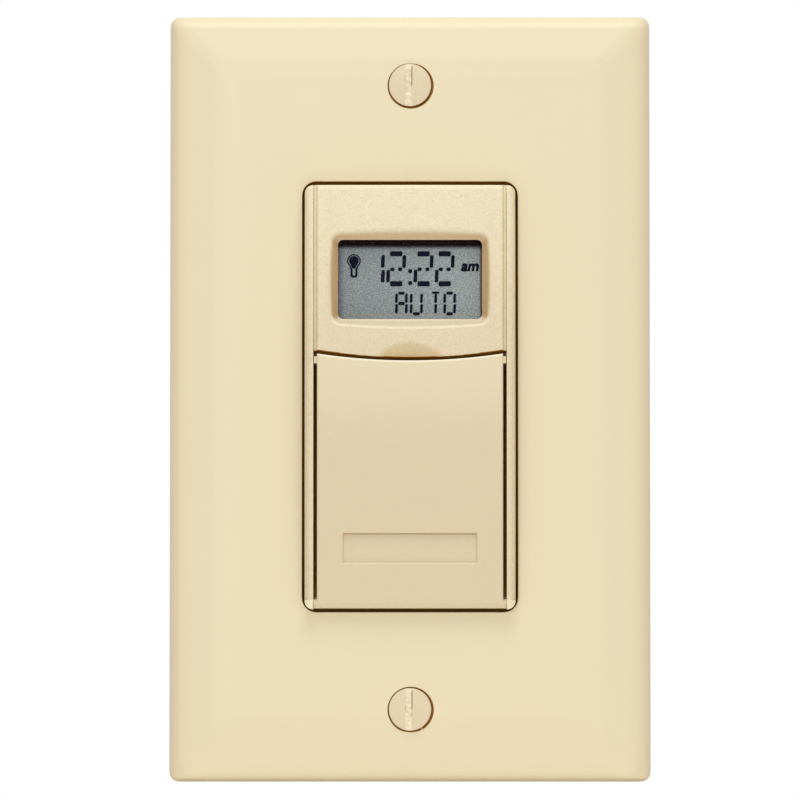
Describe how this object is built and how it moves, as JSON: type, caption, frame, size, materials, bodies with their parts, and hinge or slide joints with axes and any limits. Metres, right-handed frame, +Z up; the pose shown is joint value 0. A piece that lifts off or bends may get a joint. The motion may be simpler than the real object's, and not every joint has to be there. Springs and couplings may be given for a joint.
{
  "type": "timer light switch",
  "caption": "In-wall timer light switch: ivory decorator wall plate round a digital timer with a display, and a flip-down door that presses as the on/off paddle over its setting keys.",
  "frame": {"origin": "on the wall plane, midway between the two box screws", "axes": "+Z up, the front faces -Y, +Y goes into the wall box, +X to the right seen from the front"},
  "size_m": [0.0746, 0.04, 0.119],
  "materials": {
    "plate_ivory": "satin moulded ivory",
    "face_ivory": "fine spark-eroded ivory",
    "door_ivory": "matt moulded ivory",
    "key_ivory": "matt moulded ivory",
    "screw_paint": "ivory paint on steel",
    "zinc_steel": "zinc plated",
    "soft_iron": "nickel plated",
    "clear_window": "clear polished",
    "lcd_glass": "grey display",
    "reflector_foil": "brushed foil",
    "white_nylon": "natural",
    "elastomer": "layered silicone",
    "black_plastic": "moulded black",
    "fibre_sheet": "grey-brown fibre",
    "board_green": "solder mask",
    "brass": "plain",
    "copper": "copper",
    "relay_blue": "moulded",
    "varistor_blue": "dipped epoxy",
    "capacitor_yellow": "moulded",
    "capacitor_sleeve": "shrink sleeve",
    "resistor_tan": "coated ceramic",
    "bush_rubber": "black rubber"
  },
  "bodies": {
    "timer_body": {"wall_plate": "plate_ivory", "plate_screws": "screw_paint", "mounting_strap": "zinc_steel", "box_screws": "zinc_steel", "ground_rivet": "brass", "insulating_sheet": "fibre_sheet", "face_frame": "face_ivory", "display_bezel": "face_ivory", "display_window": "clear_window", "lcd_panel": "lcd_glass", "lcd_reflector": "reflector_foil", "lcd_holder": "white_nylon", "connector_strips": "elastomer", "switch_bodies": "black_plastic", "logic_board": "board_green", "board_screws": "zinc_steel", "microcontroller": "black_plastic", "crystal": "zinc_steel", "backup_cell": "zinc_steel", "cell_clip": "brass", "board_header": "brass", "power_board": "board_green", "relay_base": "black_plastic", "relay_cover": "relay_blue", "relay_bobbin": "white_nylon", "relay_winding": "copper", "relay_core": "soft_iron", "relay_yoke": "soft_iron", "fixed_contact": "copper", "varistor": "varistor_blue", "film_capacitor": "capacitor_yellow", "electrolytic_capacitors": "capacitor_sleeve", "diodes": "black_plastic", "resistors": "resistor_tan", "rear_case": "black_plastic", "case_screws": "zinc_steel", "lead_bushes": "bush_rubber"},
    "hinge_pin": {"hinge_pin": "zinc_steel"},
    "door": {"door": "door_ivory"},
    "override_pusher": {"override_plunger": "white_nylon", "override_stem": "black_plastic"},
    "mode_pusher": {"mode_key": "key_ivory", "mode_stem": "black_plastic"},
    "minus_pusher": {"minus_key": "key_ivory", "minus_stem": "black_plastic"},
    "plus_pusher": {"plus_key": "key_ivory", "plus_stem": "black_plastic"},
    "reset_pusher": {"reset_button": "key_ivory", "reset_stem": "black_plastic"},
    "armature": {"relay_armature": "soft_iron", "moving_contact": "copper"}
  },
  "joints": [
    {"name": "door_press", "type": "hinge", "parent": "timer_body", "child": "hinge_pin", "pos_m": [0, -0.0071, -0.03215], "axis": [1, 0, 0], "range_deg": [-0.85, 0], "stiffness_Nm_per_rad": 0.5},
    {"name": "door_hinge", "type": "hinge", "parent": "hinge_pin", "child": "door", "pos_m": [0, -0.0071, -0.03215], "axis": [1, 0, 0], "range_deg": [0, 120]},
    {"name": "override_press", "type": "slide", "parent": "timer_body", "child": "override_pusher", "axis": [0, 1, 0], "range_m": [0, 0.0005]},
    {"name": "mode_press", "type": "slide", "parent": "timer_body", "child": "mode_pusher", "axis": [0, 1, 0], "range_m": [0, 0.0005], "stiffness_N_per_m": 200},
    {"name": "minus_press", "type": "slide", "parent": "timer_body", "child": "minus_pusher", "axis": [0, 1, 0], "range_m": [0, 0.0005], "stiffness_N_per_m": 200},
    {"name": "plus_press", "type": "slide", "parent": "timer_body", "child": "plus_pusher", "axis": [0, 1, 0], "range_m": [0, 0.0005], "stiffness_N_per_m": 200},
    {"name": "reset_press", "type": "slide", "parent": "timer_body", "child": "reset_pusher", "axis": [0, 1, 0], "range_m": [0, 0.0005], "stiffness_N_per_m": 200},
    {"name": "relay_pull", "type": "hinge", "parent": "timer_body", "child": "armature", "pos_m": [-0.0096, 0.00855, 0.00808], "axis": [-1, 0, 0], "range_deg": [0, 3], "stiffness_Nm_per_rad": 0.02}
  ],
  "couplings": [
    {"joint": "override_press", "follows": "door_press", "m_per_rad": -0.03365}
  ]
}
